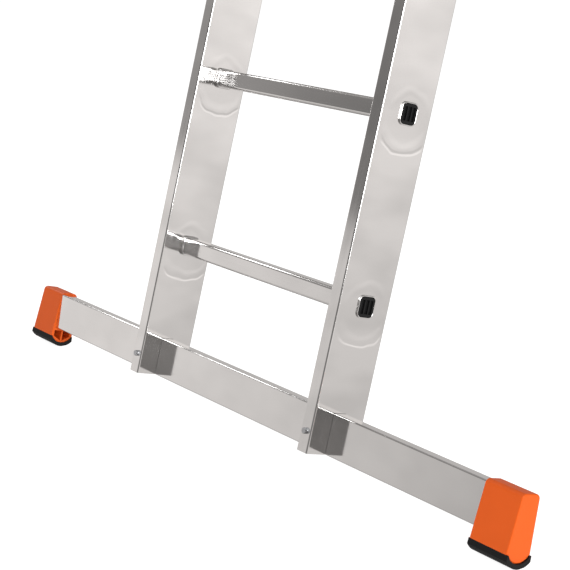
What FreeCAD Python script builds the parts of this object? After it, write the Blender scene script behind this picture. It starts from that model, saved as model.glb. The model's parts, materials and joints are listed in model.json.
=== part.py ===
import FreeCAD, Part

import math
import os
import re

import Sketcher
from FreeCAD import Placement, Rotation, Vector

# Two-section aluminium extension ladder with a stabiliser bar across the base.
# Every piece is drawn in the ladder's own directions, in millimetres: x to the right, y from the
# climber towards the wall and z up along the base stiles from their bottom ends, with y = 0 on
# the front of the base stiles.  One placement then leans the whole ladder back, so that both
# soles stand flat on the floor, z = 0, with the origin midway between them.

SIZES = {
    # the ladder as a whole
    "lean_angle": 15,
    "rung_pitch": 280,
    "rung_count": 7,
    "first_rung": 220,
    "stile_beyond_top_rung": 150,
    "rungs_raised": 3,
    # base stiles
    "base_wide": 486,
    "stile_wide": 24,
    "base_deep": 94,
    "stile_wall": 2,
    "stile_corner": 2.5,
    "stile_inner_corner": 1.2,
    # rungs
    "rung_size": 28,
    "rung_corner": 4,
    "rung_wall": 1.8,
    "rung_play": 0.3,
    "rung_depth": 50,
    "bead_size": 33,
    "bead_corner": 10,
    "bead_long": 3,
    "neck_size": 30.5,
    "neck_corner": 8,
    "neck_long": 4,
    "rim_deep": 31.5,
    "rim_tall": 34,
    "rim_corner": 8.5,
    "rim_long": 2.5,
    "rim_lip": 2.4,
    "plug_long": 16,
    "plug_recess": 3,
    "plug_rib": 1.8,
    "plug_rib_spacing": 8,
    "plug_throat_corner": 1.5,
    # stabiliser bar and its bolts
    "bar_high": 62,
    "bar_thick": 22,
    "bar_corner": 2,
    "bar_inner_corner": 1,
    "bar_wall": 2,
    "bar_front": 34.5,
    "notch_play": 0.6,
    "bolt_size": 5,
    "bolt_play": 0.4,
    "bolt_head_wide": 8,
    "bolt_head_high": 3.5,
    "washer_wide": 9,
    "washer_thick": 1,
    "nut_high": 4.7,
    "nut_play": 0.05,
    "bolt_spare": 2.5,
    # foot caps and soles
    "foot_reach": 628,
    "cap_long": 68,
    "cap_depth": 49.5,
    "cap_top_wide": 31,
    "cap_skirt_wide": 43,
    "cap_over_bar": 3,
    "cap_skirt_drop": 15,
    "cap_round_drop": 26.5,
    "cap_wall": 4,
    "cap_edge": 2.5,
    "cap_crown_edge": 7,
    "cap_web": 5,
    "cap_rib": 3,
    "cap_hollow_deep": 8.6,
    "cap_fit": 0.2,
    "sole_ledge": 1.5,
    "sole_drop": 33.2,
    "sole_side": 8,
    "sole_flare": 0.5,
    "sole_proud": 2,
    "sole_flat": 0.4,
    # fly section
    "side_gap": 9,
    "fly_deep": 75,
    "fly_rung_gap": 0.6,
    "fly_rung_depth": -2,
    "fly_below_rung": 70,
    # end caps of the stiles
    "end_cap_high": 4,
    "wall_cap_high": 14,
    "wall_cap_edge": 4,
    "end_cap_spigot": 12,
    "spigot_play": 0.2,
    # glides and guide brackets at the top of the base
    "guide_below_top": 55,
    "guide_high": 80,
    "guide_plate": 3,
    "guide_back": 60,
    "guide_lip": 15,
    "guide_lip_gap": 3,
    "liner_thick": 3.5,
    "liner_play": 0.4,
    "glide_play": 0.4,
    "glide_high": 70,
    "base_glide_front": 19.5,
    "base_glide_back": 31.5,
    "fly_glide_front": 2,
    "fly_glide_back": 28,
    "fly_glide_high": 40,
    "fly_glide_start": 8,
    "rivet_size": 5,
    "rivet_play": 0.2,
    "rivet_head_wide": 9,
    "rivet_head_high": 2,
    "rivet_bulb_wide": 7.2,
    "rivet_spacing": 50,
    "fly_rivet_spacing": 22,
    # rung locks
    "lock_depth": 20,
    "lock_above_rung": 22,
    "lock_thick": 7,
    "lock_side_gap": 0.5,
    "lock_boss": 10,
    "lock_arm_top": 9,
    "lock_lip_drop": 18,
    "lock_lip_thick": 7,
    "lock_seat_gap": 0.4,
    "lock_behind_gap": 1,
    "pivot_size": 8,
    "pivot_running_play": 0.1,
    "pivot_head_wide": 13,
    "pivot_head_high": 2,
}

FRAME_PARTS = []
ZERO = "0"

doc = FreeCAD.newDocument("extension_ladder")
sheet = doc.addObject("Spreadsheet::Sheet", "sizes")


def fill_sheet():
    """Write each driving size in a row of the sheet, with its name as the cell's alias."""
    for row, (name, size) in enumerate(SIZES.items(), start=1):
        sheet.set("A%d" % row, name)
        sheet.set("B%d" % row, str(size))
        sheet.setAlias("B%d" % row, name)
    doc.recompute()


def named(text):
    """Turn an expression in size names into one that reads the sheet."""
    return re.sub(r"\b([a-z][a-z_]*)\b", r"sizes.\1", text)


def value(text):
    """The number that an expression in size names comes to."""
    return float(sheet.evalExpression(named(text)))


# ------------------------------------------------------------------ sizes that follow from others
STILE_X = "(base_wide / 2 - stile_wide / 2)"
BASE_INNER_X = "(base_wide / 2 - stile_wide)"
BASE_LONG = "(first_rung + (rung_count - 1) * rung_pitch + stile_beyond_top_rung)"
FLY_OUTER_X = "(%s - side_gap)" % BASE_INNER_X
FLY_X = "(%s - stile_wide / 2)" % FLY_OUTER_X
FLY_INNER_X = "(%s - stile_wide)" % FLY_OUTER_X
FLY_BACK = "(rung_depth - rung_size / 2 - fly_rung_gap)"
FLY_FRONT = "(%s - fly_deep)" % FLY_BACK
FLY_START = "(first_rung + rungs_raised * rung_pitch - fly_below_rung)"
FLY_LONG = "(fly_below_rung + (rung_count - 1) * rung_pitch + stile_beyond_top_rung)"
BAR_BACK = "(bar_front + bar_thick)"
BOLT_Z = "(bar_high / 2)"
CAP_INNER_X = "(foot_reach - cap_long)"
SOLE_HALF = "(cap_skirt_wide / 2 + sole_flare)"
SOLE_RISE = "(sole_drop - cap_skirt_drop - sole_side)"
BAR_LONG = "(2 * (foot_reach - cap_wall))"
GUIDE_Z = "(%s - guide_below_top)" % BASE_LONG
LINER_BACK = "(%s - liner_play)" % FLY_FRONT
PLATE_BACK = "(%s - liner_thick)" % LINER_BACK
PLATE_FRONT = "(%s - guide_plate)" % PLATE_BACK
GUIDE_RIVET_Y = "((base_glide_front + base_glide_back) / 2)"
FLY_GLIDE_Y = "((fly_glide_front + fly_glide_back) / 2)"
FLY_GLIDE_Z = "(fly_glide_start + fly_glide_high / 2)"
LOCK_Z = "(fly_below_rung + lock_above_rung)"
LOCK_OUTER_X = "(%s - lock_side_gap)" % FLY_INNER_X
LOCK_INNER_X = "(%s - lock_thick)" % LOCK_OUTER_X


# ---------------------------------------------------------------------------------- placing pieces
def arc_radius(half, rise):
    """Radius of an arc with a given half chord and rise, as an expression."""
    return "((%s * %s + %s * %s) / (2 * %s))" % (half, half, rise, rise, rise)


def sole_circle():
    """Radius and centre height of the sole's round underside, from its width and drop."""
    radius = value(arc_radius(SOLE_HALF, SOLE_RISE))
    return radius, radius - value("sole_drop")


def ladder_placement():
    """Lean the ladder back and stand the flats of its soles on the floor at y = 0."""
    lean = math.radians(value("lean_angle"))
    radius, centre_z = sole_circle()
    centre_y = value("cap_depth")
    floor = radius - value("sole_flat")
    turned_y = centre_y * math.cos(lean) + centre_z * math.sin(lean)
    turned_z = centre_z * math.cos(lean) - centre_y * math.sin(lean)
    turn = Rotation(Vector(1, 0, 0), -value("lean_angle"))
    return Placement(Vector(0, -turned_y, floor - turned_z), turn)


def keep(piece, label, x=ZERO, y=ZERO, z=ZERO):
    """Name a finished piece, put it where it belongs on the leaning ladder and keep it."""
    piece.Label = label
    own = Placement(Vector(value(x), value(y), value(z)), Rotation())
    piece.Placement = ladder_placement().multiply(own)
    FRAME_PARTS.append(piece)
    return piece


def side_name(side):
    """The user's right is +x."""
    return "right" if side > 0 else "left"


def signed(side, text):
    """The same distance measured towards one side of the ladder."""
    return text if side > 0 else "(0 - %s)" % text


# ------------------------------------------------------------------------------ sketches and pads
def new_body(name):
    return doc.addObject("PartDesign::Body", name)


def sketch_on(body, plane, offset=ZERO):
    """A sketch on one of the body's own origin planes, moved along that plane's normal."""
    sketch = body.newObject("Sketcher::SketchObject", "sketch")
    support = [item for item in body.Origin.OriginFeatures if item.Role == plane][0]
    sketch.AttachmentSupport = [(support, "")]
    sketch.MapMode = "FlatFace"
    sketch.setExpression("AttachmentOffset.Base.z", named(offset))
    return sketch


def bind(sketch, kind, *where_and_text):
    """Add a constraint whose number follows an expression in size names."""
    where = where_and_text[:-1]
    text = where_and_text[-1]
    index = sketch.addConstraint(Sketcher.Constraint(kind, *where, value(text)))
    sketch.setExpression("Constraints[%d]" % index, named(text))


def rounded_rectangle(sketch, centre_x, centre_y, wide, high, corner):
    """A rectangle with four equal round corners, fixed by its centre, size and corner radius."""
    x0 = value("%s - %s / 2" % (centre_x, wide))
    x1 = value("%s + %s / 2" % (centre_x, wide))
    y0 = value("%s - %s / 2" % (centre_y, high))
    y1 = value("%s + %s / 2" % (centre_y, high))
    r = value(corner)
    first = sketch.GeometryCount
    ends = [
        (Vector(x0 + r, y0, 0), Vector(x1 - r, y0, 0)),
        (Vector(x1, y0 + r, 0), Vector(x1, y1 - r, 0)),
        (Vector(x1 - r, y1, 0), Vector(x0 + r, y1, 0)),
        (Vector(x0, y1 - r, 0), Vector(x0, y0 + r, 0)),
    ]
    for start, end in ends:
        sketch.addGeometry(Part.LineSegment(start, end), False)
    centres = [Vector(x1 - r, y0 + r, 0), Vector(x1 - r, y1 - r, 0),
               Vector(x0 + r, y1 - r, 0), Vector(x0 + r, y0 + r, 0)]
    for turn, centre in enumerate(centres):
        circle = Part.Circle(centre, Vector(0, 0, 1), r)
        start = (turn - 1) * math.pi / 2
        sketch.addGeometry(Part.ArcOfCircle(circle, start, start + math.pi / 2), False)
    for step in range(4):
        line = first + step
        arc = first + 4 + step
        after = first + (step + 1) % 4
        sketch.addConstraint(Sketcher.Constraint("Tangent", line, 2, arc, 1))
        sketch.addConstraint(Sketcher.Constraint("Tangent", arc, 2, after, 1))
        sketch.addConstraint(Sketcher.Constraint("Horizontal" if step % 2 == 0 else "Vertical", line))
        if step:
            sketch.addConstraint(Sketcher.Constraint("Equal", first + 4, arc))
    bind(sketch, "Radius", first + 4, corner)
    bind(sketch, "DistanceX", -1, 1, first + 1, 1, "%s + %s / 2" % (centre_x, wide))
    bind(sketch, "DistanceX", -1, 1, first + 3, 1, "%s - %s / 2" % (centre_x, wide))
    bind(sketch, "DistanceY", -1, 1, first + 2, 1, "%s + %s / 2" % (centre_y, high))
    bind(sketch, "DistanceY", -1, 1, first, 1, "%s - %s / 2" % (centre_y, high))


def circle_at(sketch, centre_x, centre_y, radius):
    """A circle fixed by its centre and radius."""
    centre = Vector(value(centre_x), value(centre_y), 0)
    index = sketch.addGeometry(Part.Circle(centre, Vector(0, 0, 1), value(radius)), False)
    bind(sketch, "Radius", index, radius)
    bind(sketch, "DistanceX", -1, 1, index, 3, centre_x)
    bind(sketch, "DistanceY", -1, 1, index, 3, centre_y)


def angle_at(centre, point):
    """Direction of a point from a centre, in radians."""
    return math.atan2(point.y - centre.y, point.x - centre.x)


def outline(sketch, points, bulges=None):
    """A closed outline through points (x, y), all bound to sizes.

    bulges gives the middle point and radius of each side that is an arc, by the side's number.
    """
    bulges = bulges or {}
    corners = [Vector(value(x), value(y), 0) for x, y in points]
    first = sketch.GeometryCount
    count = len(points)
    turned = set()
    for side, start in enumerate(corners):
        end = corners[(side + 1) % count]
        if side not in bulges:
            sketch.addGeometry(Part.LineSegment(start, end), False)
            continue
        middle = Vector(value(bulges[side][0]), value(bulges[side][1]), 0)
        centre = Part.Circle(start, middle, end).Center
        if (middle - start).cross(end - middle).z < 0:
            turned.add(side)
            start, end = end, start
        circle = Part.Circle(centre, Vector(0, 0, 1), centre.distanceToPoint(start))
        sketch.addGeometry(Part.ArcOfCircle(circle, angle_at(centre, start),
                                            angle_at(centre, end)), False)
    for side in range(count):
        after = (side + 1) % count
        end = 1 if side in turned else 2
        start = 2 if after in turned else 1
        sketch.addConstraint(Sketcher.Constraint("Coincident", first + side, end,
                                                 first + after, start))
    for side, (x, y) in enumerate(points):
        start = 2 if side in turned else 1
        bind(sketch, "DistanceX", -1, 1, first + side, start, x)
        bind(sketch, "DistanceY", -1, 1, first + side, start, y)
    for side, (_, _, radius) in bulges.items():
        bind(sketch, "Radius", first + side, radius)


def extrude(body, kind, sketch, length=None, way="One side", back=False):
    """A Pad or Pocket of a sketch, by a bound length or, for a pocket, through everything."""
    feature = body.newObject("PartDesign::" + kind, kind.lower())
    feature.Profile = sketch
    feature.SideType = way
    feature.Reversed = back
    if length is None:
        feature.Type = "ThroughAll"
    else:
        feature.setExpression("Length", named(length))
    sketch.Visibility = False
    return feature


def repeat_along(body, features, sketch, axis, count, spacing):
    """A row of copies of features along an axis of a sketch, at a bound spacing."""
    pattern = body.newObject("PartDesign::LinearPattern", "row")
    pattern.Originals = features
    pattern.Direction = (sketch, [axis])
    pattern.setExpression("Length", named("%s * (%s - 1)" % (spacing, count)))
    pattern.setExpression("Occurrences", named(count))
    body.Tip = pattern
    return pattern


def mirror_across(body, features, plane):
    """The same features again on the other side of one of the body's origin planes."""
    mirror = body.newObject("PartDesign::Mirrored", "mirrored")
    mirror.Originals = features
    support = [item for item in body.Origin.OriginFeatures if item.Role == plane][0]
    mirror.MirrorPlane = (support, [""])
    body.Tip = mirror
    return mirror


def round_edges(body, feature, radius, chosen):
    """Round the edges of a feature for which chosen(edge) is true."""
    doc.recompute()
    names = ["Edge%d" % number for number, edge in enumerate(feature.Shape.Edges, start=1)
             if chosen(edge)]
    fillet = body.newObject("PartDesign::Fillet", "rounding")
    fillet.Base = (feature, names)
    fillet.setExpression("Radius", named(radius))
    body.Tip = fillet
    return fillet


# -------------------------------------------------------------------------------------- stiles
def stile_tube(name, deep, long):
    """A hollow rectangular stile standing on z = 0, centred on x = 0, its front at y = 0."""
    body = new_body(name)
    outside = sketch_on(body, "XY_Plane")
    rounded_rectangle(outside, ZERO, deep + " / 2", "stile_wide", deep, "stile_corner")
    extrude(body, "Pad", outside, long)
    inside = sketch_on(body, "XY_Plane")
    rounded_rectangle(inside, ZERO, deep + " / 2", "(stile_wide - 2 * stile_wall)",
                      "(%s - 2 * stile_wall)" % deep, "stile_inner_corner")
    extrude(body, "Pocket", inside, long, back=True)
    return body


def rung_holes(body, depth, height):
    """A row of rung holes through both sides of a stile."""
    hole = sketch_on(body, "YZ_Plane")
    rounded_rectangle(hole, depth, height, "(rung_size + rung_play)", "(rung_size + rung_play)",
                      "(rung_corner + rung_play / 2)")
    cut = extrude(body, "Pocket", hole, "2 * stile_wide", way="Symmetric")
    repeat_along(body, [cut], hole, "V_Axis", "rung_count", "rung_pitch")


def round_holes(body, plane, places, radius, long, way="Symmetric", back=False):
    """Round holes at places (x, y) of a plane of the body."""
    holes = sketch_on(body, plane)
    for across, up in places:
        circle_at(holes, across, up, radius)
    extrude(body, "Pocket", holes, long, way=way, back=back)


def guide_rivet_heights():
    return [GUIDE_Z + " - rivet_spacing / 2", GUIDE_Z + " + rivet_spacing / 2"]


def base_stile(side):
    """Base stile, notched at its foot for the bar, with holes for rungs, bolt and rivets."""
    body = stile_tube("base_stile", "base_deep", BASE_LONG)
    rung_holes(body, "rung_depth", "first_rung")
    notch = sketch_on(body, "YZ_Plane")
    front = "(bar_front - notch_play / 2)"
    back = "(%s + notch_play / 2)" % BAR_BACK
    top = "(bar_high + notch_play / 2)"
    below = "(0 - bar_wall)"
    outline(notch, [(front, below), (back, below), (back, top), (front, top)])
    extrude(body, "Pocket", notch, "2 * stile_wide", way="Symmetric")
    round_holes(body, "XZ_Plane", [(ZERO, BOLT_Z)], "((bolt_size + bolt_play) / 2)",
                "3 * base_deep")
    round_holes(body, "YZ_Plane", [(GUIDE_RIVET_Y, z) for z in guide_rivet_heights()],
                "((rivet_size + rivet_play) / 2)", "2 * stile_wide")
    return keep(body, "base_stile_" + side_name(side), x=signed(side, STILE_X))


def fly_rivet_heights():
    return [FLY_GLIDE_Z + " - fly_rivet_spacing / 2", FLY_GLIDE_Z + " + fly_rivet_spacing / 2"]


def fly_stile(side):
    """Fly stile, with holes for its rungs, the lock's pivot and the rivets of its glide."""
    body = stile_tube("fly_stile", "fly_deep", FLY_LONG)
    rung_holes(body, "(fly_rung_depth - %s)" % FLY_FRONT, "fly_below_rung")
    round_holes(body, "YZ_Plane", [("lock_depth - " + FLY_FRONT, LOCK_Z)],
                "((pivot_size + rivet_play) / 2)", "2 * stile_wide")
    places = [("%s - %s" % (FLY_GLIDE_Y, FLY_FRONT), z) for z in fly_rivet_heights()]
    round_holes(body, "YZ_Plane", places, "((rivet_size + rivet_play) / 2)", "stile_wide",
                way="One side", back=side > 0)
    return keep(body, "fly_stile_" + side_name(side), x=signed(side, FLY_X), y=FLY_FRONT,
                z=FLY_START)


# --------------------------------------------------------------------------------------- rungs
def rung(label, half_span, depth, height):
    """A square-section rung: a bead inside each stile and a flared rim outside it."""
    body = new_body("rung")
    inner = "(%s - stile_wide)" % half_span
    tube = sketch_on(body, "YZ_Plane")
    rounded_rectangle(tube, ZERO, ZERO, "rung_size", "rung_size", "rung_corner")
    extrude(body, "Pad", tube, "2 * (%s + rim_long)" % half_span, way="Symmetric")
    bead = sketch_on(body, "YZ_Plane", inner + " - bead_long")
    rounded_rectangle(bead, ZERO, ZERO, "bead_size", "bead_size", "bead_corner")
    bead_pad = extrude(body, "Pad", bead, "bead_long")
    neck = sketch_on(body, "YZ_Plane", inner + " - bead_long - neck_long")
    rounded_rectangle(neck, ZERO, ZERO, "neck_size", "neck_size", "neck_corner")
    neck_pad = extrude(body, "Pad", neck, "neck_long")
    rim = sketch_on(body, "YZ_Plane", half_span)
    rounded_rectangle(rim, ZERO, ZERO, "rim_deep", "rim_tall", "rim_corner")
    rim_pad = extrude(body, "Pad", rim, "rim_long")
    seat = sketch_on(body, "YZ_Plane", half_span)
    rounded_rectangle(seat, ZERO, ZERO, "(rim_deep - 2 * rim_lip)", "(rim_tall - 2 * rim_lip)",
                      "(rim_corner - rim_lip)")
    seat_cut = extrude(body, "Pocket", seat, "rim_long", back=True)
    mirror_across(body, [bead_pad, neck_pad, rim_pad, seat_cut], "YZ_Plane")
    bore = sketch_on(body, "YZ_Plane")
    rounded_rectangle(bore, ZERO, ZERO, "(rung_size - 2 * rung_wall)",
                      "(rung_size - 2 * rung_wall)", "(rung_corner - rung_wall)")
    extrude(body, "Pocket", bore, "3 * " + half_span, way="Symmetric")
    return keep(body, label, y=depth, z=height)


def rounded_block(wide, high, corner, start, end):
    """A block from x = start to end with rounded corners, centred on y = z = 0."""
    block = Part.makeBox(end - start, wide, high, Vector(start, -wide / 2, -high / 2))
    along = [edge for edge in block.Edges if abs(edge.tangentAt(edge.FirstParameter).x) > 0.9]
    return block.makeFillet(corner, along)


def rung_plug():
    """The ribbed plastic plug that closes a rung; its outer face is at x = rim_long."""
    flush = value("rim_long")
    lip = value("rim_lip")
    play = value("spigot_play")
    wide = value("rim_deep") - 2 * lip - play
    high = value("rim_tall") - 2 * lip - play
    corner = value("rim_corner") - lip
    shank = value("rung_size - 2 * rung_wall") - play
    recess = value("plug_recess")
    wall = value("plug_rib")
    head = rounded_block(wide, high, corner, 0, flush)
    body = rounded_block(shank, shank, value("rung_corner - rung_wall"), -value("plug_long"), 0)
    plug = head.fuse(body)
    hollow = rounded_block(wide - 2 * wall, high - 2 * wall, corner - wall, flush - recess, flush)
    inner_shank = shank - 2 * wall
    throat = rounded_block(inner_shank, inner_shank, value("plug_throat_corner"),
                           flush - recess, flush)
    plug = plug.cut(hollow.common(throat))
    for way in (-1, 1):
        middle = way * value("plug_rib_spacing / 2")
        rib = Part.makeBox(recess, wall, inner_shank,
                           Vector(flush - recess, middle - wall / 2, -inner_shank / 2))
        plug = plug.fuse(rib)
    return plug.removeSplitter()


def plugs(label, side, half_span, depth, first_height):
    """The plugs in one end of a section's rungs, one separate solid in each rung."""
    plug = rung_plug()
    if side < 0:
        plug = plug.mirror(Vector(0, 0, 0), Vector(1, 0, 0))
    pieces = []
    for number in range(int(value("rung_count"))):
        piece = plug.copy()
        height = value(first_height) + number * value("rung_pitch")
        piece.translate(Vector(side * value(half_span), value(depth), height))
        pieces.append(piece)
    group = doc.addObject("Part::Feature", "plugs")
    group.Shape = Part.makeCompound(pieces)
    return keep(group, label)


# -------------------------------------------------------------------- stabiliser bar, caps, soles
def stabiliser_bar():
    """The wide rectangular tube across the foot of the base, with two bolt holes."""
    body = new_body("bar")
    outside = sketch_on(body, "YZ_Plane")
    rounded_rectangle(outside, "(bar_thick / 2)", "(bar_high / 2)", "bar_thick", "bar_high",
                      "bar_corner")
    extrude(body, "Pad", outside, BAR_LONG, way="Symmetric")
    inside = sketch_on(body, "YZ_Plane")
    rounded_rectangle(inside, "(bar_thick / 2)", "(bar_high / 2)", "(bar_thick - 2 * bar_wall)",
                      "(bar_high - 2 * bar_wall)", "bar_inner_corner")
    extrude(body, "Pocket", inside, "2 * " + BAR_LONG, way="Symmetric")
    places = [(signed(side, STILE_X), BOLT_Z) for side in (-1, 1)]
    round_holes(body, "XZ_Plane", places, "((bolt_size + bolt_play) / 2)", "4 * bar_thick")
    return keep(body, "stabiliser_bar", y="bar_front")


def foot_cap(side):
    """Plastic cap over the bar's end: open on its inner side, closed on its outer side."""
    body = new_body("foot_cap")
    top = "(bar_high + cap_over_bar)"
    skirt = "(0 - cap_skirt_drop)"
    half_top = "(cap_top_wide / 2)"
    half = "(cap_skirt_wide / 2)"
    half_round = "(cap_skirt_wide / 2 - sole_ledge)"
    rise = "(cap_round_drop - cap_skirt_drop)"
    back = side < 0
    shell = sketch_on(body, "YZ_Plane")
    outline(shell, [("0 - " + half_top, top), ("0 - " + half, skirt), ("0 - " + half_round, skirt),
                    (half_round, skirt), (half, skirt), (half_top, top)],
            {2: (ZERO, "(0 - cap_round_drop)", arc_radius(half_round, rise))})
    block = extrude(body, "Pad", shell, "cap_long", back=back)
    outer = side * value("cap_long")
    crown = value(top)
    soft = round_edges(body, block, "cap_crown_edge", lambda edge: on_crown(edge, crown))
    round_edges(body, soft, "cap_edge", lambda edge: on_outer_face(edge, outer))
    socket = sketch_on(body, "YZ_Plane")
    bar_middle = "(bar_front + bar_thick / 2 - cap_depth)"
    rounded_rectangle(socket, bar_middle, "(bar_high / 2)", "(bar_thick + cap_fit)",
                      "(bar_high + cap_fit)", "bar_corner")
    extrude(body, "Pocket", socket, "(cap_long - cap_wall)", back=not back)
    half_hollow = "(%s - cap_wall)" % half_round
    floor = "(0 - cap_skirt_drop - cap_hollow_deep)"
    for way in (-1, 1):
        hollow = sketch_on(body, "YZ_Plane")
        rib = signed(way, "(cap_rib / 2)")
        far = signed(way, half_hollow)
        outline(hollow, [(rib, "(0 - cap_web)"), (far, "(0 - cap_web)"), (far, skirt),
                         (rib, floor)])
        extrude(body, "Pocket", hollow, "(cap_long - cap_wall)", back=not back)
    body.Tip = body.Group[-1]
    return keep(body, "foot_cap_" + side_name(side), x=signed(side, CAP_INNER_X), y="cap_depth")


def on_outer_face(edge, outer):
    """Whether an edge lies wholly in the plane x = outer."""
    return all(abs(vertex.X - outer) < 0.01 for vertex in edge.Vertexes)


def on_crown(edge, crown):
    """Whether an edge runs along x in the plane z = crown."""
    low = all(abs(vertex.Z - crown) < 0.01 for vertex in edge.Vertexes)
    return low and abs(edge.tangentAt(edge.FirstParameter).x) > 0.9


def foot_sole(side):
    """Rubber sole moulded round the cap's underside, pressed flat where it stands."""
    half = "(cap_skirt_wide / 2)"
    half_round = "(cap_skirt_wide / 2 - sole_ledge)"
    skirt = "(0 - cap_skirt_drop)"
    low = "(0 - cap_skirt_drop - sole_side)"
    body = new_body("foot_sole")
    profile = sketch_on(body, "YZ_Plane")
    outline(profile, [("0 - " + half, skirt), ("0 - " + SOLE_HALF, low), (SOLE_HALF, low),
                      (half, skirt), (half_round, skirt), ("0 - " + half_round, skirt)],
            {1: (ZERO, "(0 - sole_drop)", arc_radius(SOLE_HALF, SOLE_RISE)),
             4: (ZERO, "(0 - cap_round_drop)",
                 arc_radius(half_round, "(cap_round_drop - cap_skirt_drop)"))})
    extrude(body, "Pad", profile, "(cap_long + 2 * sole_proud)", back=side < 0)
    below = sketch_on(body, "YZ_Plane")
    add_floor_cut(below)
    extrude(body, "Pocket", below, "4 * cap_long", way="Symmetric")
    body.Tip = body.Group[-1]
    start = "(%s - sole_proud)" % CAP_INNER_X
    return keep(body, "foot_sole_" + side_name(side), x=signed(side, start), y="cap_depth")


def add_floor_cut(sketch):
    """A rectangle below the floor's line, which leans under the ladder by the lean angle."""
    radius, centre_z = sole_circle()
    lean = math.radians(value("lean_angle"))
    along = Vector(math.cos(lean), math.sin(lean), 0)
    down = Vector(math.sin(lean), -math.cos(lean), 0)
    middle = Vector(0, centre_z, 0) + down * (radius - value("sole_flat"))
    reach = value("cap_skirt_wide")
    corners = [middle - along * reach, middle + along * reach,
               middle + along * reach + down * reach, middle - along * reach + down * reach]
    for number, start in enumerate(corners):
        index = sketch.addGeometry(Part.LineSegment(start, corners[(number + 1) % 4]), False)
        sketch.addConstraint(Sketcher.Constraint("Block", index))


# --------------------------------------------------------------------------------- fasteners
def group_of(label, pieces):
    """Several identical fasteners in one node, each a separate solid."""
    group = doc.addObject("Part::Feature", label)
    group.Shape = Part.makeCompound(pieces)
    return keep(group, label)


def hexagon(flats, high, x, y, z, hole=0.0):
    """A hexagonal prism along y from y to y + high, with an optional hole."""
    corner = flats / math.sqrt(3)
    points = []
    for number in range(7):
        angle = math.radians(60 * number + 30)
        points.append(Vector(x + corner * math.cos(angle), y, z + corner * math.sin(angle)))
    prism = Part.Face(Part.makePolygon(points)).extrude(Vector(0, high, 0))
    if hole:
        prism = prism.cut(Part.makeCylinder(hole, high, Vector(x, y, z), Vector(0, 1, 0)))
    return prism


def bar_fasteners():
    """The bolt, two washers and nut that hold the bar in each stile."""
    bolts = []
    washers = []
    nuts = []
    radius = value("bolt_size / 2")
    thick = value("washer_thick")
    head = value("bolt_head_high")
    deep = value("base_deep")
    nut = value("nut_high")
    end = deep + thick + nut + value("bolt_spare")
    z = value(BOLT_Z)
    hole = radius + value("nut_play")
    for side in (-1, 1):
        x = side * value(STILE_X)
        shank = Part.makeCylinder(radius, end + thick, Vector(x, -thick, z), Vector(0, 1, 0))
        top = hexagon(value("bolt_head_wide"), head, x, -thick - head, z)
        bolts.append(top.fuse(shank))
        nuts.append(hexagon(value("bolt_head_wide"), nut, x, deep + thick, z, hole))
        for y in (-thick, deep):
            disc = Part.makeCylinder(value("washer_wide / 2"), thick, Vector(x, y, z),
                                     Vector(0, 1, 0))
            washers.append(disc.cut(Part.makeCylinder(hole, thick, Vector(x, y, z),
                                                      Vector(0, 1, 0))))
    group_of("stabiliser_bolts", bolts)
    group_of("stabiliser_washers", washers)
    group_of("stabiliser_nuts", nuts)


def rivet(head_face, side, grip, y, z):
    """A blind rivet along x: its head stands on head_face and its bulb closes on the inside."""
    away = Vector(side, 0, 0)
    start = Vector(head_face, y, z)
    head_high = value("rivet_head_high")
    shank_radius = value("rivet_size / 2")
    head = Part.makeCone(value("rivet_head_wide / 2"), shank_radius, head_high, start, away)
    inward = away * -1
    shank = Part.makeCylinder(shank_radius, grip, start, inward)
    bulb = Part.makeCylinder(value("rivet_bulb_wide / 2"), head_high,
                             start + inward * grip, inward)
    return head.fuse([shank, bulb])


def guide_rivets():
    """Rivets through the guide brackets and the outer walls of the base stiles."""
    pieces = []
    plate = value("guide_plate")
    face = value("base_wide / 2") + plate
    for side in (-1, 1):
        for z in guide_rivet_heights():
            pieces.append(rivet(side * face, side, plate + value("stile_wall"),
                                value(GUIDE_RIVET_Y), value(z)))
    group_of("guide_rivets", pieces)


def glide_rivets():
    """Rivets sunk in the base glides, through the inner walls of the base stiles."""
    pieces = []
    sink = value("rivet_head_high") + value("glide_play")
    face = value("%s - side_gap + glide_play" % BASE_INNER_X) + sink
    grip = value(BASE_INNER_X + " + stile_wall") - face
    for side in (-1, 1):
        for z in guide_rivet_heights():
            pieces.append(rivet(side * face, -side, grip, value(GUIDE_RIVET_Y), value(z)))
    group_of("base_glide_rivets", pieces)


def fly_glide_rivets():
    """Rivets sunk in the fly glides, through the outer walls of the fly stiles."""
    pieces = []
    sink = value("rivet_head_high") + value("glide_play")
    face = value("%s - glide_play" % BASE_INNER_X) - sink
    grip = face - value(FLY_OUTER_X + " - stile_wall")
    for side in (-1, 1):
        for z in fly_rivet_heights():
            pieces.append(rivet(side * face, side, grip, value(FLY_GLIDE_Y),
                                value("%s + %s" % (FLY_START, z))))
    group_of("fly_glide_rivets", pieces)


# ------------------------------------------------------------------ end caps, glides and guides
def end_cap(label, side_x, front, deep, height, high, up, edge=None):
    """A plastic cap on a stile's end, with a spigot inside the tube; up is +1 at a top end."""
    body = new_body("end_cap")
    plate = sketch_on(body, "XY_Plane")
    rounded_rectangle(plate, ZERO, deep + " / 2", "stile_wide", deep, "stile_corner")
    block = extrude(body, "Pad", plate, high, back=up < 0)
    if edge:
        top = value(high) * up
        block = round_edges(body, block, edge,
                            lambda item: all(abs(v.Z - top) < 0.01 for v in item.Vertexes))
    spigot = sketch_on(body, "XY_Plane")
    rounded_rectangle(spigot, ZERO, deep + " / 2",
                      "(stile_wide - 2 * stile_wall - spigot_play)",
                      "(%s - 2 * stile_wall - spigot_play)" % deep, "stile_inner_corner")
    extrude(body, "Pad", spigot, "end_cap_spigot", back=up > 0)
    body.Tip = body.Group[-1]
    return keep(body, label, x=side_x, y=front, z=height)


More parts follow.
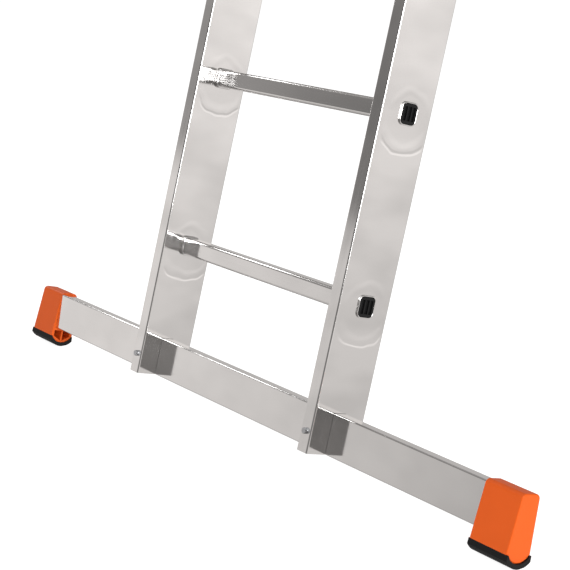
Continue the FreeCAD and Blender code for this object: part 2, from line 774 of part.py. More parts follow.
def base_glide(side):
    """Plastic block at the base's top that the fly stile runs beside."""
    body = new_body("glide")
    inner = "(%s + glide_play)" % FLY_OUTER_X
    thick = "(side_gap - glide_play)"
    face = sketch_on(body, "YZ_Plane")
    rounded_rectangle(face, GUIDE_RIVET_Y, GUIDE_Z, "(base_glide_back - base_glide_front)",
                      "glide_high", "rivet_head_high")
    extrude(body, "Pad", face, thick, back=side < 0)
    sink_holes(body, [(GUIDE_RIVET_Y, z) for z in guide_rivet_heights()], side > 0)
    return keep(body, "base_glide_" + side_name(side), x=signed(side, inner))


def sink_holes(body, places, towards_plus_x):
    """Rivet holes through a block, with counterbores cut into its face at x = 0."""
    round_holes(body, "YZ_Plane", places, "((rivet_size + rivet_play) / 2)", "4 * side_gap")
    sink = sketch_on(body, "YZ_Plane")
    for across, up in places:
        circle_at(sink, across, up, "((rivet_head_wide + 2 * rivet_play) / 2)")
    extrude(body, "Pocket", sink, "(rivet_head_high + glide_play)", back=towards_plus_x)


def fly_glide(side):
    """Plastic block on the fly stile's outer side, near its bottom, that runs along the base."""
    body = new_body("glide")
    outer = "(%s - glide_play)" % BASE_INNER_X
    middle = "%s + %s" % (FLY_START, FLY_GLIDE_Z)
    face = sketch_on(body, "YZ_Plane")
    rounded_rectangle(face, FLY_GLIDE_Y, "(%s)" % middle, "(fly_glide_back - fly_glide_front)",
                      "fly_glide_high", "rivet_head_high")
    extrude(body, "Pad", face, "(side_gap - glide_play)", back=side > 0)
    places = [(FLY_GLIDE_Y, "%s + %s" % (FLY_START, z)) for z in fly_rivet_heights()]
    sink_holes(body, places, side < 0)
    return keep(body, "fly_glide_" + side_name(side), x=signed(side, outer))


def guide_bracket(side):
    """Bent plate riveted to the base stile, which wraps round the front of the fly stile."""
    body = new_body("guide_bracket")
    near = signed(side, "(base_wide / 2)")
    far = signed(side, "(base_wide / 2 + guide_plate)")
    lip_outer = signed(side, "(%s - guide_lip_gap)" % FLY_INNER_X)
    lip_inner = signed(side, "(%s - guide_lip_gap - guide_plate)" % FLY_INNER_X)
    lip_end = "(%s + guide_lip)" % PLATE_BACK
    profile = sketch_on(body, "XY_Plane", GUIDE_Z + " - guide_high / 2")
    outline(profile, [(near, "guide_back"), (far, "guide_back"), (far, PLATE_FRONT),
                      (lip_inner, PLATE_FRONT), (lip_inner, lip_end), (lip_outer, lip_end),
                      (lip_outer, PLATE_BACK), (near, PLATE_BACK)])
    block = extrude(body, "Pad", profile, "guide_high")
    bends = [(value(far), value(PLATE_FRONT)), (value(lip_inner), value(PLATE_FRONT))]
    round_edges(body, block, "guide_plate", lambda edge: runs_up_at(edge, bends))
    places = [(GUIDE_RIVET_Y, z) for z in guide_rivet_heights()]
    round_holes(body, "YZ_Plane", places, "((rivet_size + rivet_play) / 2)", "2 * base_wide")
    body.Tip = body.Group[-1]
    return keep(body, "guide_bracket_" + side_name(side))


def runs_up_at(edge, places):
    """Whether an edge runs along z at one of the places (x, y)."""
    for x, y in places:
        if all(abs(v.X - x) < 0.01 and abs(v.Y - y) < 0.01 for v in edge.Vertexes):
            return True
    return False


def guide_liner(side):
    """Plastic strip between the guide bracket and the front of the fly stile."""
    box = doc.addObject("Part::Box", "liner")
    box.setExpression("Length", named("stile_wide"))
    box.setExpression("Width", named("liner_thick"))
    box.setExpression("Height", named("guide_high"))
    start = FLY_INNER_X if side > 0 else "(0 - %s)" % FLY_OUTER_X
    return keep(box, "guide_liner_" + side_name(side), x=start, y=PLATE_BACK,
                z=GUIDE_Z + " - guide_high / 2")


# ---------------------------------------------------------------------------------- rung locks
def lock_hook(side):
    """Swinging hook that sits over a base rung; its pivot is the body's x axis."""
    body = new_body("lock_hook")
    seat = "(rung_size / 2 + lock_seat_gap - lock_above_rung)"
    lip_front = "(rung_depth + rung_size / 2 + lock_behind_gap - lock_depth)"
    lip_back = "(%s + lock_lip_thick)" % lip_front
    foot = "(0 - lock_lip_drop)"
    boss = sketch_on(body, "YZ_Plane")
    circle_at(boss, ZERO, ZERO, "lock_boss")
    extrude(body, "Pad", boss, "lock_thick", back=side > 0)
    arm = sketch_on(body, "YZ_Plane")
    outline(arm, [(ZERO, "lock_arm_top"), (ZERO, seat), (lip_front, seat), (lip_front, foot),
                  (lip_back, foot), (lip_back, "lock_arm_top")])
    extrude(body, "Pad", arm, "lock_thick", back=side > 0)
    round_holes(body, "YZ_Plane", [(ZERO, ZERO)], "((pivot_size + pivot_running_play) / 2)",
                "4 * lock_thick")
    return keep(body, "lock_hook_" + side_name(side), x=signed(side, LOCK_OUTER_X),
                y="lock_depth", z="%s + %s" % (FLY_START, LOCK_Z))


def lock_pivots():
    """Headed pins through the fly stiles that the hooks turn on."""
    pieces = []
    head_high = value("pivot_head_high")
    inner = value(LOCK_INNER_X + " - lock_side_gap")
    outer = value(FLY_OUTER_X)
    y = value("lock_depth")
    z = value("%s + %s" % (FLY_START, LOCK_Z))
    for side in (-1, 1):
        away = Vector(side, 0, 0)
        shank = Part.makeCylinder(value("pivot_size / 2"), outer - inner,
                                  Vector(side * inner, y, z), away)
        inner_head = Part.makeCylinder(value("pivot_head_wide / 2"), head_high,
                                       Vector(side * (inner - head_high), y, z), away)
        outer_head = Part.makeCylinder(value("pivot_head_wide / 2"), head_high,
                                       Vector(side * outer, y, z), away)
        pieces.append(shank.fuse([inner_head, outer_head]))
    group_of("lock_pivot_pins", pieces)


# ------------------------------------------------------------------------------------ assembly
def build_base():
    for side in (-1, 1):
        base_stile(side)
        plugs("base_rung_plugs_" + side_name(side), side, "base_wide / 2", "rung_depth",
              "first_rung")
        foot_cap(side)
        foot_sole(side)
        end_cap("base_top_cap_" + side_name(side), signed(side, STILE_X), ZERO, "base_deep",
                BASE_LONG, "end_cap_high", 1)
        guide_bracket(side)
        guide_liner(side)
        base_glide(side)
    for number in range(int(value("rung_count"))):
        rung("base_rung_%d" % (number + 1), "(base_wide / 2)", "rung_depth",
             "first_rung + %d * rung_pitch" % number)
    stabiliser_bar()
    bar_fasteners()
    guide_rivets()
    glide_rivets()


def build_fly():
    for side in (-1, 1):
        fly_stile(side)
        plugs("fly_rung_plugs_" + side_name(side), side, FLY_OUTER_X, "fly_rung_depth",
              "%s + fly_below_rung" % FLY_START)
        end_cap("fly_top_cap_" + side_name(side), signed(side, FLY_X), FLY_FRONT, "fly_deep",
                "%s + %s" % (FLY_START, FLY_LONG), "wall_cap_high", 1, "wall_cap_edge")
        end_cap("fly_foot_cap_" + side_name(side), signed(side, FLY_X), FLY_FRONT, "fly_deep",
                FLY_START, "end_cap_high", -1)
        fly_glide(side)
        lock_hook(side)
    for number in range(int(value("rung_count"))):
        rung("fly_rung_%d" % (number + 1), FLY_OUTER_X, "fly_rung_depth",
             "%s + fly_below_rung + %d * rung_pitch" % (FLY_START, number))
    fly_glide_rivets()
    lock_pivots()


def check_and_export():
    """Stop on any failed feature or shape, then write one STEP file for each piece."""
    doc.recompute()
    for item in doc.Objects:
        if "Invalid" in item.State or "Error" in item.State:
            raise RuntimeError("%s is %s" % (item.Label, item.State))
    for piece in FRAME_PARTS:
        if piece.Shape.isNull() or not piece.Shape.isValid() or not piece.Shape.Solids:
            raise RuntimeError("%s has no valid shape" % piece.Label)
    os.makedirs("parts", exist_ok=True)
    for piece in FRAME_PARTS:
        piece.Shape.exportStep("parts/%s.step" % piece.Label)


fill_sheet()
build_base()
build_fly()
check_and_export()
print("%d pieces written" % len(FRAME_PARTS))
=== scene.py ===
"""Looks of the two-section extension ladder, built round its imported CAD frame.

Metres, in the CAD's own frame.
"""
import json
import math

import bpy
from mathutils import Matrix, Vector


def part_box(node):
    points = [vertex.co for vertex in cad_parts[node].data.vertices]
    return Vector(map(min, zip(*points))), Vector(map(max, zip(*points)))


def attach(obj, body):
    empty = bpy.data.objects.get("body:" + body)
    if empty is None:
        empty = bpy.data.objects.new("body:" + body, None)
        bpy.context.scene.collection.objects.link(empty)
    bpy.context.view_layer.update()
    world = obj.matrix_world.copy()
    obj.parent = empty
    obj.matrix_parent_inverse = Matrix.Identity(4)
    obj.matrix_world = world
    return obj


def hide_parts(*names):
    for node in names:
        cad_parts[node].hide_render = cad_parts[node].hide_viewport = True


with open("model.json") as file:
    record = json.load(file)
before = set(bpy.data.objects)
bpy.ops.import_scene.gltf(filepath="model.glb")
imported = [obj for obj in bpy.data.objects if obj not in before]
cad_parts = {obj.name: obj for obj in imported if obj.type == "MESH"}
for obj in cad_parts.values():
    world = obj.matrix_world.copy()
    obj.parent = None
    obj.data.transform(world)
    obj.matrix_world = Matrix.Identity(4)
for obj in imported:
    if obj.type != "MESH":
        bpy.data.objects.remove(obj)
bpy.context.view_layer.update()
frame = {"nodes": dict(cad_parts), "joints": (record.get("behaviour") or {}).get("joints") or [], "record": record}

NODES = frame["nodes"]

# The ladder's own directions: across the rungs, along the stiles, and from the climber to the wall.
SLIDE = next(joint for joint in frame["joints"] if joint["name"] == "fly_slide")
ACROSS = Vector((1, 0, 0))
ALONG = Vector(SLIDE["axis"]).normalized()
DEEP = ALONG.cross(ACROSS)
LEAN = math.atan2(ALONG.y, ALONG.z)
TO_LADDER = Matrix((ACROSS, DEEP, ALONG))


def centre(node):
    low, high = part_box(node)
    return (low + high) / 2


def in_ladder(point):
    return TO_LADDER @ point


RUNG_1 = in_ladder(centre("base_rung_1"))
PITCH = in_ladder(centre("base_rung_2")).z - RUNG_1.z
FLY_RUNG_1 = in_ladder(centre("fly_rung_1"))


# ---- materials ----


class Nodes:
    """A short way to write a material's node tree."""

    def __init__(self, name):
        self.material = bpy.data.materials.new(name)
        self.material.use_nodes = True
        self.tree = self.material.node_tree
        self.shader = self.tree.nodes["Principled BSDF"]

    def add(self, kind, inputs=(), **settings):
        node = self.tree.nodes.new("ShaderNode" + kind)
        for key, value in settings.items():
            setattr(node, key, value)
        for key, value in dict(inputs).items():
            if isinstance(value, bpy.types.NodeSocket):
                self.tree.links.new(value, node.inputs[key])
            else:
                node.inputs[key].default_value = value
        return node

    def link(self, output, key):
        self.tree.links.new(output, self.shader.inputs[key])

    def set(self, **values):
        for key, value in values.items():
            self.shader.inputs[key.replace("_", " ")].default_value = value

    def turned(self, turn):
        """Object coordinates, turned about X."""
        where = self.add("TexCoord").outputs["Object"]
        return self.add("Mapping", {"Vector": where, "Rotation": (turn, 0, 0)}).outputs[0]

    def place(self, scale, turn=0.0):
        """Object coordinates, turned about X and stretched."""
        return self.add("Mapping", {"Vector": self.turned(turn), "Scale": scale}).outputs[0]

    def maths(self, kind, first, second=None):
        inputs = {0: first} if second is None else {0: first, 1: second}
        return self.add("Math", inputs, operation=kind).outputs[0]

    def noise(self, place, scale=1.0, detail=2.0):
        return self.add("TexNoise", {"Vector": place, "Scale": scale, "Detail": detail}).outputs[0]

    def spread(self, value, low, high, bottom=0.0, top=1.0):
        """value from bottom..top brought to low..high."""
        inputs = {"Value": value, "From Min": bottom, "From Max": top, "To Min": low, "To Max": high}
        return self.add("MapRange", inputs).outputs[0]

    def blend(self, amount, first, second):
        node = self.add("Mix", data_type="RGBA")
        self.tree.links.new(amount, node.inputs["Factor"])
        node.inputs["A"].default_value = (*first, 1)
        node.inputs["B"].default_value = (*second, 1)
        return node.outputs["Result"]

    def bump(self, height, distance, strength=1.0, under=None):
        inputs = {"Height": height, "Distance": distance, "Strength": strength}
        if under:
            inputs["Normal"] = under
        return self.add("Bump", inputs).outputs[0]


ALUMINIUM = (0.75, 0.74, 0.732)
PALER = 1.06
PATCH_STRETCH, PATCH_SCALE = (1, 0.7, 1.6), 9.0
DIE_ROUGHNESS = (0.07, 0.12)

# How high the relief of the aluminium stands, and how strongly it shows.
WAVE_RELIEF = (0.00005, 0.4)
DIE_RELIEF = (0.00001, 0.4)
DENT_RELIEF = (0.0004, 0.8)
RIB_RELIEF = (0.00004, 0.6)

# Crimped ribs of a rung's swage: their pitch, and how far from the stile they fade in and out.
RIB_PITCH = 0.0035
RIBS_START, RIBS_FULL = 0.030, 0.018
RIBS_FADE, RIBS_END = 0.008, 0.0065

# Rings pressed into a stile round a rung: radius and half width, all measured from the rung's middle.
CREASE_RADIUS, CREASE_WIDE = 0.0575, 0.0042
SWELL_RADIUS, SWELL_WIDE, SWELL_HEIGHT = 0.049, 0.010, 0.55
UPPER_RADIUS, UPPER_WIDE, UPPER_HEIGHT = 0.033, 0.009, 0.45
LOWER_FULL, LOWER_NONE = -0.03, -0.005
UPPER_NONE, UPPER_FULL = 0.0, 0.02
WANDER, WANDER_SCALE = 0.004, 28.0
SIDE_FADE = 0.006


def extruded_aluminium(name, stretch, turn, dents=(), swage_end=None, uneven=0.0):
    """Mill-finish aluminium with die lines; stretch is small along the extrusion.

    dents are the first rung's depth and height, the number of rungs that pass through a stile, and
    how far from a rung's middle the dents reach on its sides.
    swage_end is how far from the middle a rung's swage ends, where it has crimped ribs.
    uneven is how much darker the finish is in its patches.
    """
    n = Nodes(name)
    lines = n.noise(n.place(stretch, turn), detail=3.0)
    waves = n.noise(n.place(tuple(c * 0.3 for c in stretch), turn), detail=1.0)
    cloud = n.noise(n.place(PATCH_STRETCH, turn), scale=PATCH_SCALE)
    pale = tuple(min(1.0, c * PALER) for c in ALUMINIUM)
    dark = tuple(c * (1.0 - uneven) for c in ALUMINIUM)
    n.link(n.blend(n.spread(cloud, 0.0, 1.0, 0.38, 0.62), dark, pale), "Base Color")
    n.link(n.spread(lines, *DIE_ROUGHNESS, 0.3, 0.7), "Roughness")
    normal = n.bump(waves, *WAVE_RELIEF)
    normal = n.bump(lines, *DIE_RELIEF, under=normal)
    if dents:
        normal = n.bump(ring_dents(n, turn, *dents), *DENT_RELIEF, under=normal)
    if swage_end:
        normal = n.bump(crimped_ribs(n, turn, swage_end), *RIB_RELIEF, under=normal)
    n.link(normal, "Normal")
    n.set(Metallic=1.0)
    return n.material


def crimped_ribs(n, turn, swage_end):
    """Fine ribs along a rung, only where it is swaged next to a stile."""
    parts = n.add("SeparateXYZ", {0: n.turned(turn)}).outputs
    both = n.maths("ADD", parts["Y"], parts["Z"])
    wave = n.maths("SINE", n.maths("MULTIPLY", both, 2 * math.pi / RIB_PITCH))
    out = n.maths("ABSOLUTE", parts["X"])
    starts = n.spread(out, 0.0, 1.0, swage_end - RIBS_START, swage_end - RIBS_FULL)
    ends = n.spread(out, 1.0, 0.0, swage_end - RIBS_FADE, swage_end - RIBS_END)
    return n.maths("MULTIPLY", wave, n.maths("MULTIPLY", starts, ends))


def ring_dents(n, turn, depth, height, count, reach):
    """Height of the rings pressed into a stile's sides round each rung: 0 away from them."""
    parts = n.add("SeparateXYZ", {0: n.turned(turn)}).outputs
    across = n.maths("SUBTRACT", parts["Y"], depth)
    up = n.maths("SUBTRACT", parts["Z"], height)
    nearest = n.maths("ROUND", n.maths("DIVIDE", up, PITCH))
    nearest = n.maths("MINIMUM", n.maths("MAXIMUM", nearest, 0.0), count - 1.0)
    off = n.maths("SUBTRACT", up, n.maths("MULTIPLY", nearest, PITCH))
    squares = n.maths("ADD", n.maths("MULTIPLY", across, across), n.maths("MULTIPLY", off, off))
    cloud = n.noise(n.place((1, 1, 1), turn), scale=WANDER_SCALE, detail=1.0)
    wander = n.spread(cloud, -WANDER, WANDER, 0.25, 0.75)
    radius = n.maths("ADD", n.maths("SQRT", squares), wander)
    below = n.spread(off, 1.0, 0.0, LOWER_FULL, LOWER_NONE)
    above = n.spread(off, 0.0, UPPER_HEIGHT, UPPER_NONE, UPPER_FULL)
    swell = n.maths("MULTIPLY", ring(n, radius, SWELL_RADIUS, SWELL_WIDE), SWELL_HEIGHT)
    lower = n.maths("SUBTRACT", swell, ring(n, radius, CREASE_RADIUS, CREASE_WIDE))
    upper = ring(n, radius, UPPER_RADIUS, UPPER_WIDE)
    rings = n.maths("ADD", n.maths("MULTIPLY", lower, below), n.maths("MULTIPLY", upper, above))
    on_side = n.spread(n.maths("ABSOLUTE", across), 1.0, 0.0, reach - SIDE_FADE, reach)
    return n.maths("MULTIPLY", rings, on_side)


def ring(n, radius, middle, half_wide):
    """1 at the middle radius, falling smoothly to 0 a half width either side."""
    off = n.maths("ABSOLUTE", n.maths("SUBTRACT", radius, middle))
    inputs = {"Value": off, "From Min": 0.0, "From Max": half_wide, "To Min": 1.0, "To Max": 0.0}
    return n.add("MapRange", inputs, interpolation_type="SMOOTHSTEP").outputs[0]


def plain_metal(name, colour, rough):
    n = Nodes(name)
    grain = n.noise(n.place((1, 1, 1)), scale=900.0)
    n.link(n.blend(grain, tuple(c * 0.92 for c in colour), colour), "Base Color")
    n.link(n.spread(grain, rough - 0.05, rough + 0.07, 0.3, 0.7), "Roughness")
    n.link(n.bump(grain, 0.00004, 0.4), "Normal")
    n.set(Metallic=1.0)
    return n.material


def moulded_plastic(name, colour, rough, grain_scale=1400.0, depth=0.00005, shine=0.5):
    n = Nodes(name)
    grain = n.noise(n.place((1, 1, 1)), scale=grain_scale)
    cloud = n.noise(n.place((1, 1, 1)), scale=35.0)
    n.link(n.blend(cloud, tuple(c * 0.93 for c in colour), colour), "Base Color")
    n.link(n.spread(grain, rough - 0.05, rough + 0.06, 0.3, 0.7), "Roughness")
    n.link(n.bump(grain, depth, 0.5), "Normal")
    n.set(Specular_IOR_Level=shine)
    return n.material


STILE_WIDE = 0.024
RIM_PROUD = 0.0025
ALONG_STILE = (420, 420, 2.5)
ALONG_RUNG = (2.5, 420, 420)
STILE_PATCHES = 0.08
BASE_DENT_REACH, FLY_DENT_REACH = 0.042, 0.034


def stile_faces(node):
    """How far the inner and outer faces of the stiles that a rung passes through are from the middle."""
    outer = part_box(node)[1].x - RIM_PROUD
    return outer - STILE_WIDE, outer


RUNG_COUNT = sum(node.startswith("base_rung_") and node[-1].isdigit() for node in NODES)
STILE_LOOKS = {
    body + "_stile": extruded_aluminium(body + "_stile_aluminium", ALONG_STILE, LEAN,
                                        (first.y, first.z, RUNG_COUNT, reach), uneven=STILE_PATCHES)
    for body, first, reach in (("base", RUNG_1, BASE_DENT_REACH), ("fly", FLY_RUNG_1, FLY_DENT_REACH))
}
CROSS = extruded_aluminium("cross_aluminium", ALONG_RUNG, LEAN)
RUNG_LOOKS = {
    body: extruded_aluminium(body + "_rung_aluminium", ALONG_RUNG, LEAN,
                             swage_end=stile_faces(body + "_rung_1")[0])
    for body in ("base", "fly")
}
RIVET = plain_metal("rivet_aluminium", (0.62, 0.62, 0.62), 0.35)
ZINC = plain_metal("zinc_steel", (0.55, 0.56, 0.58), 0.3)
ORANGE = moulded_plastic("orange_plastic", (0.72, 0.105, 0.012), 0.42, shine=0.14)
BLACK = moulded_plastic("black_plastic", (0.007, 0.007, 0.0074), 0.45, shine=0.18)
SOLE = moulded_plastic("sole_rubber", (0.006, 0.006, 0.0062), 0.6, 700.0, 0.0001, shine=0.25)
WALL = moulded_plastic("wall_rubber", (0.012, 0.012, 0.0125), 0.65, 700.0, 0.0001, shine=0.3)

LOOKS = {"rivet_aluminium": RIVET, "zinc_steel": ZINC, "orange_plastic": ORANGE,
         "black_plastic": BLACK, "sole_rubber": SOLE, "wall_rubber": WALL}


def dress_nodes():
    for part in frame["record"]["subparts"]:
        node = part["node"]
        if part["material_slot"] == "aluminium":
            look = STILE_LOOKS.get(node.rsplit("_", 1)[0], CROSS)
        else:
            look = LOOKS[part["material_slot"]]
        slots = NODES[node].data.materials
        for i in range(len(slots)):
            slots[i] = look


# ---- rungs ----

RUNG_SIZE, RUNG_CORNER = 0.028, 0.004
ARC_STEPS = 8
FLAT_EDGE = 0.0006
PLAIN_ROWS = (0.0, 0.06, 0.12)

# The swage's corners open over SWAGE_EASE; it ends at the stile's inner face.
SWAGE_LONG, SWAGE_EASE, SWAGE_CORNER, SWAGE_STEPS = 0.042, 0.0345, 0.0075, 16
SWAGE_LEAD = 0.004

# The bead is a half round ring; TO_STILE is how far its start is from the stile.
BEAD_TO_STILE, BEAD_LONG, BEAD_SIZE, BEAD_CORNER, BEAD_STEPS = 0.0060, 0.0042, 0.0325, 0.0085, 8
BEAD_LEAD, BEAD_ROOT = 0.0004, 0.0002

# The collar pressed up to the stile: (distance from the stile, size, corner).
COLLAR = ((0.0014, 0.0283, 0.0075), (0.0010, 0.0300, 0.0080), (0.0001, 0.0302, 0.0080))
IN_STILE_SIZE = 0.0282
IN_STILE_END = 0.0002

# The rim outside the stile rolls over from its outside to its opening: (deep, tall).
RIM_OUTSIDE, RIM_OUTSIDE_CORNER = (0.0315, 0.034), 0.0085
RIM_OPENING, RIM_OPENING_CORNER = (0.0267, 0.0292), 0.0061
RIM_ROOT, RIM_FULLNESS, RIM_STEPS = 0.0001, 0.7, 8
BORE_SIZE, BORE_CORNER, BORE_DEEP = 0.0244, 0.0022, 0.017


def ring_points(x, deep, tall, corner):
    """Points round a rounded rectangle square to the rung, with extra points near the flats' ends."""
    points = []
    for turn, (side_y, side_z) in enumerate(((1, 1), (-1, 1), (-1, -1), (1, -1))):
        y, z = side_y * (deep / 2 - corner), side_z * (tall / 2 - corner)
        start = turn * math.pi / 2
        end = start + math.pi / 2
        arc = [start + step * math.pi / 2 / ARC_STEPS for step in range(ARC_STEPS + 1)]
        bend = [(y + corner * math.cos(t), z + corner * math.sin(t)) for t in arc]
        before = (bend[0][0] + FLAT_EDGE * math.sin(start), bend[0][1] - FLAT_EDGE * math.cos(start))
        after = (bend[-1][0] - FLAT_EDGE * math.sin(end), bend[-1][1] + FLAT_EDGE * math.cos(end))
        points += [before, *bend, after]
    return [(x, y, z) for y, z in points]


def swage_rows(inner):
    start = inner - SWAGE_LONG
    rows = [(x, RUNG_SIZE, RUNG_SIZE, RUNG_CORNER) for x in (*PLAIN_ROWS, start - SWAGE_LEAD, start)]
    for step in range(1, SWAGE_STEPS + 1):
        share = step / SWAGE_STEPS
        ease = share * share * (3 - 2 * share)
        corner = RUNG_CORNER + (SWAGE_CORNER - RUNG_CORNER) * ease
        rows.append((start + share * SWAGE_EASE, RUNG_SIZE, RUNG_SIZE, corner))
    return rows


def bead_rows(inner):
    start = inner - BEAD_TO_STILE
    root = RUNG_SIZE + BEAD_ROOT
    rows = [(start - BEAD_LEAD, RUNG_SIZE, RUNG_SIZE, SWAGE_CORNER)]
    for step in range(BEAD_STEPS + 1):
        turn = math.pi * step / BEAD_STEPS
        size = root + (BEAD_SIZE - root) * math.sin(turn)
        rows.append((start + BEAD_LONG * (1 - math.cos(turn)) / 2, size, size, BEAD_CORNER))
    return rows


def rim_rows(outer):
    rows = []
    for step in range(RIM_STEPS + 1):
        turn = math.pi * step / RIM_STEPS
        share = (1 + math.cos(turn)) / 2
        deep, tall = (small + (large - small) * share for large, small in zip(RIM_OUTSIDE, RIM_OPENING))
        corner = RIM_OPENING_CORNER + (RIM_OUTSIDE_CORNER - RIM_OPENING_CORNER) * share
        x = outer + RIM_ROOT + (RIM_PROUD - RIM_ROOT) * math.sin(turn) ** RIM_FULLNESS
        rows.append((x, deep, tall, corner))
    rows.append((outer + RIM_ROOT, *RIM_OPENING, RIM_OPENING_CORNER))
    return rows


def half_profile(inner, outer):
    """(x, deep, tall, corner) sections of a rung from its middle to its rim, then back into its bore."""
    rows = swage_rows(inner) + bead_rows(inner)
    rows += [(inner - away, size, size, corner) for away, size, corner in COLLAR]
    rows += [(x, IN_STILE_SIZE, IN_STILE_SIZE, RUNG_CORNER) for x in (inner, outer - IN_STILE_END)]
    rows += rim_rows(outer)
    rows += [(x, BORE_SIZE, BORE_SIZE, BORE_CORNER) for x in (outer, outer - BORE_DEEP)]
    return rows


def add_rung(node, body, look):
    """A rung in mesh code, in place of its CAD tube: swaged, beaded and rimmed at both ends."""
    half = half_profile(*stile_faces(node))
    rows = [(-x, deep, tall, corner) for x, deep, tall, corner in reversed(half)] + half[1:]
    place = centre(node)
    to_world = TO_LADDER.inverted()
    points = []
    for row in rows:
        points += [place + to_world @ Vector(point) for point in ring_points(*row)]
    around = len(points) // len(rows)
    faces = []
    for row in range(len(rows) - 1):
        for step in range(around):
            after = (step + 1) % around
            faces.append((row * around + step, row * around + after,
                          (row + 1) * around + after, (row + 1) * around + step))
    mesh = bpy.data.meshes.new(node + "_swaged")
    mesh.from_pydata(points, [], faces)
    mesh.polygons.foreach_set("use_smooth", [True] * len(faces))
    mesh.materials.append(look)
    rung = bpy.data.objects.new(node + "_swaged", mesh)
    bpy.context.scene.collection.objects.link(rung)
    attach(rung, body)
    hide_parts(node)


# ---- stage, light and camera ----

# The camera stands in front of the ladder's foot, to its right; the studio is dimmest near that side.
CAMERA_PLACE = Vector((1.9626, -1.3445, 0.8659))
CAMERA_AIM = Vector((0.0589, 0.0507, 0.2392))
CAMERA_LENS, CAMERA_SENSOR = 101.87, 36


def compass(degrees, elevation=0.0):
    """Unit vector: 0 points along +Y, 90 along +X."""
    turn, rise = math.radians(degrees), math.radians(elevation)
    return Vector((math.sin(turn) * math.cos(rise), math.cos(turn) * math.cos(rise), math.sin(rise)))


FLOOR_REACH, FLOOR_SHADE, FLOOR_GLOW = 60.0, 0.35, 0.93


def add_floor():
    """A plain white floor, which glows enough to stay white everywhere and isn't mirrored in metal."""
    mesh = bpy.data.meshes.new("floor")
    corners = [(FLOOR_REACH * x, FLOOR_REACH * y, 0) for x, y in ((-1, -1), (1, -1), (1, 1), (-1, 1))]
    mesh.from_pydata(corners, [], [(0, 1, 2, 3)])
    floor = bpy.data.objects.new("floor", mesh)
    bpy.context.scene.collection.objects.link(floor)
    n = Nodes("floor_paint")
    n.set(Base_Color=(FLOOR_SHADE, FLOOR_SHADE, FLOOR_SHADE, 1), Roughness=0.9)
    n.set(Emission_Color=(1, 1, 1, 1), Emission_Strength=FLOOR_GLOW)
    mesh.materials.append(n.material)
    floor.visible_glossy = False


# Compass directions of the studio's sides, and the sine of the elevation where its pale band ends.
DIM_SIDE, BRIGHT_SIDE, GREY_SIDE = 165, 50, -45
BAND_TOP, BAND_EDGE = 0.107, 0.015
STUDIO_TINT = (1.0, 0.965, 0.945, 1)
SEEN_WHITE = 1.05


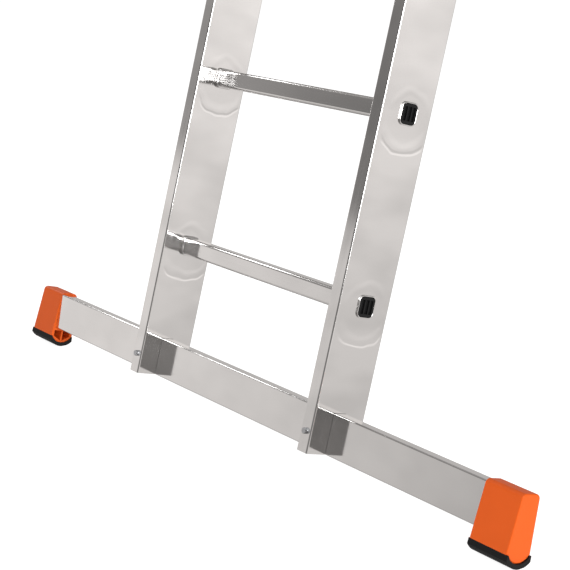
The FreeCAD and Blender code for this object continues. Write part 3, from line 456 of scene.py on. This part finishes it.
def add_world():
    """A studio: a pale band low down all round, dimmer towards the camera, and dark above it."""
    world = bpy.data.worlds.new("studio")
    bpy.context.scene.world = world
    world.use_nodes = True
    tree = world.node_tree
    tree.nodes.clear()

    def add(kind, *inputs, **settings):
        node = tree.nodes.new("ShaderNode" + kind)
        for key, value in settings.items():
            setattr(node, key, value)
        for place, value in enumerate(inputs):
            if isinstance(value, bpy.types.NodeSocket):
                tree.links.new(value, node.inputs[place])
            elif value is not None:
                node.inputs[place].default_value = value
        return node

    def ramp(value, bottom, top, low, high):
        """A smooth step of value, from low at bottom to high at top."""
        return add("MapRange", value, bottom, top, low, high, interpolation_type="SMOOTHSTEP").outputs[0]

    def towards(flat, degrees):
        return add("VectorMath", flat, compass(degrees), operation="DOT_PRODUCT").outputs["Value"]

    def times(first, second):
        return add("Math", first, second, operation="MULTIPLY").outputs[0]

    where = add("TexCoord").outputs["Generated"]
    height = add("SeparateXYZ", where).outputs["Z"]
    level = add("VectorMath", where, (1, 1, 0), operation="MULTIPLY").outputs[0]
    flat = add("VectorMath", level, operation="NORMALIZE").outputs[0]
    dim_side = towards(flat, DIM_SIDE)
    low = times(ramp(height, -0.34, 0.0, 0.72, 1.08), ramp(dim_side, 0.25, 0.85, 1.0, 0.27))
    low = times(low, ramp(towards(flat, BRIGHT_SIDE), 0.2, 1.0, 0.8, 1.0))
    low = times(low, ramp(towards(flat, GREY_SIDE), 0.3, 0.95, 1.0, 0.62))
    high = ramp(dim_side, 0.28, 0.44, 0.37, 0.2)
    both = add("Mix", ramp(height, BAND_TOP, BAND_TOP + BAND_EDGE, 0.0, 1.0), data_type="FLOAT")
    tree.links.new(low, both.inputs[2])
    tree.links.new(high, both.inputs[3])
    studio = add("Background", STUDIO_TINT, both.outputs[0])
    seen = add("Background", (1, 1, 1, 1), SEEN_WHITE)
    mix = add("MixShader", add("LightPath").outputs["Is Camera Ray"], studio.outputs[0], seen.outputs[0])
    add("OutputWorld", mix.outputs[0])


LIGHT_AIM = Vector((0, 0.1, 0.5))


def add_light(name, degrees, elevation, distance, size, radiance):
    """A softbox of that radiance, aimed at the ladder's foot."""
    light = bpy.data.lights.new(name, "AREA")
    light.shape = "RECTANGLE"
    light.size, light.size_y = size
    light.energy = radiance * math.pi * size[0] * size[1]
    thing = bpy.data.objects.new(name, light)
    thing.location = LIGHT_AIM + distance * compass(degrees, elevation)
    thing.rotation_euler = (LIGHT_AIM - thing.location).to_track_quat("-Z", "Y").to_euler()
    thing.visible_camera = False
    bpy.context.scene.collection.objects.link(thing)


def add_camera():
    camera = bpy.data.cameras.new("camera")
    camera.lens = CAMERA_LENS
    camera.sensor_width = CAMERA_SENSOR
    thing = bpy.data.objects.new("camera", camera)
    thing.location = CAMERA_PLACE
    thing.rotation_euler = (CAMERA_AIM - CAMERA_PLACE).to_track_quat("-Z", "Y").to_euler()
    bpy.context.scene.collection.objects.link(thing)
    bpy.context.scene.camera = thing


dress_nodes()
for number in range(1, RUNG_COUNT + 1):
    for body, look in RUNG_LOOKS.items():
        add_rung("%s_rung_%d" % (body, number), body, look)
add_floor()
add_world()
add_light("key", 108, 15.5, 4.5, (2.4, 2.4), 9.0)
add_light("side", -90, 30.5, 4.0, (2.0, 0.77), 7.0)
add_light("overhead", 160, 70, 4.2, (3.0, 3.0), 1.3)
add_camera()
bpy.context.scene.view_settings.view_transform = "Standard"
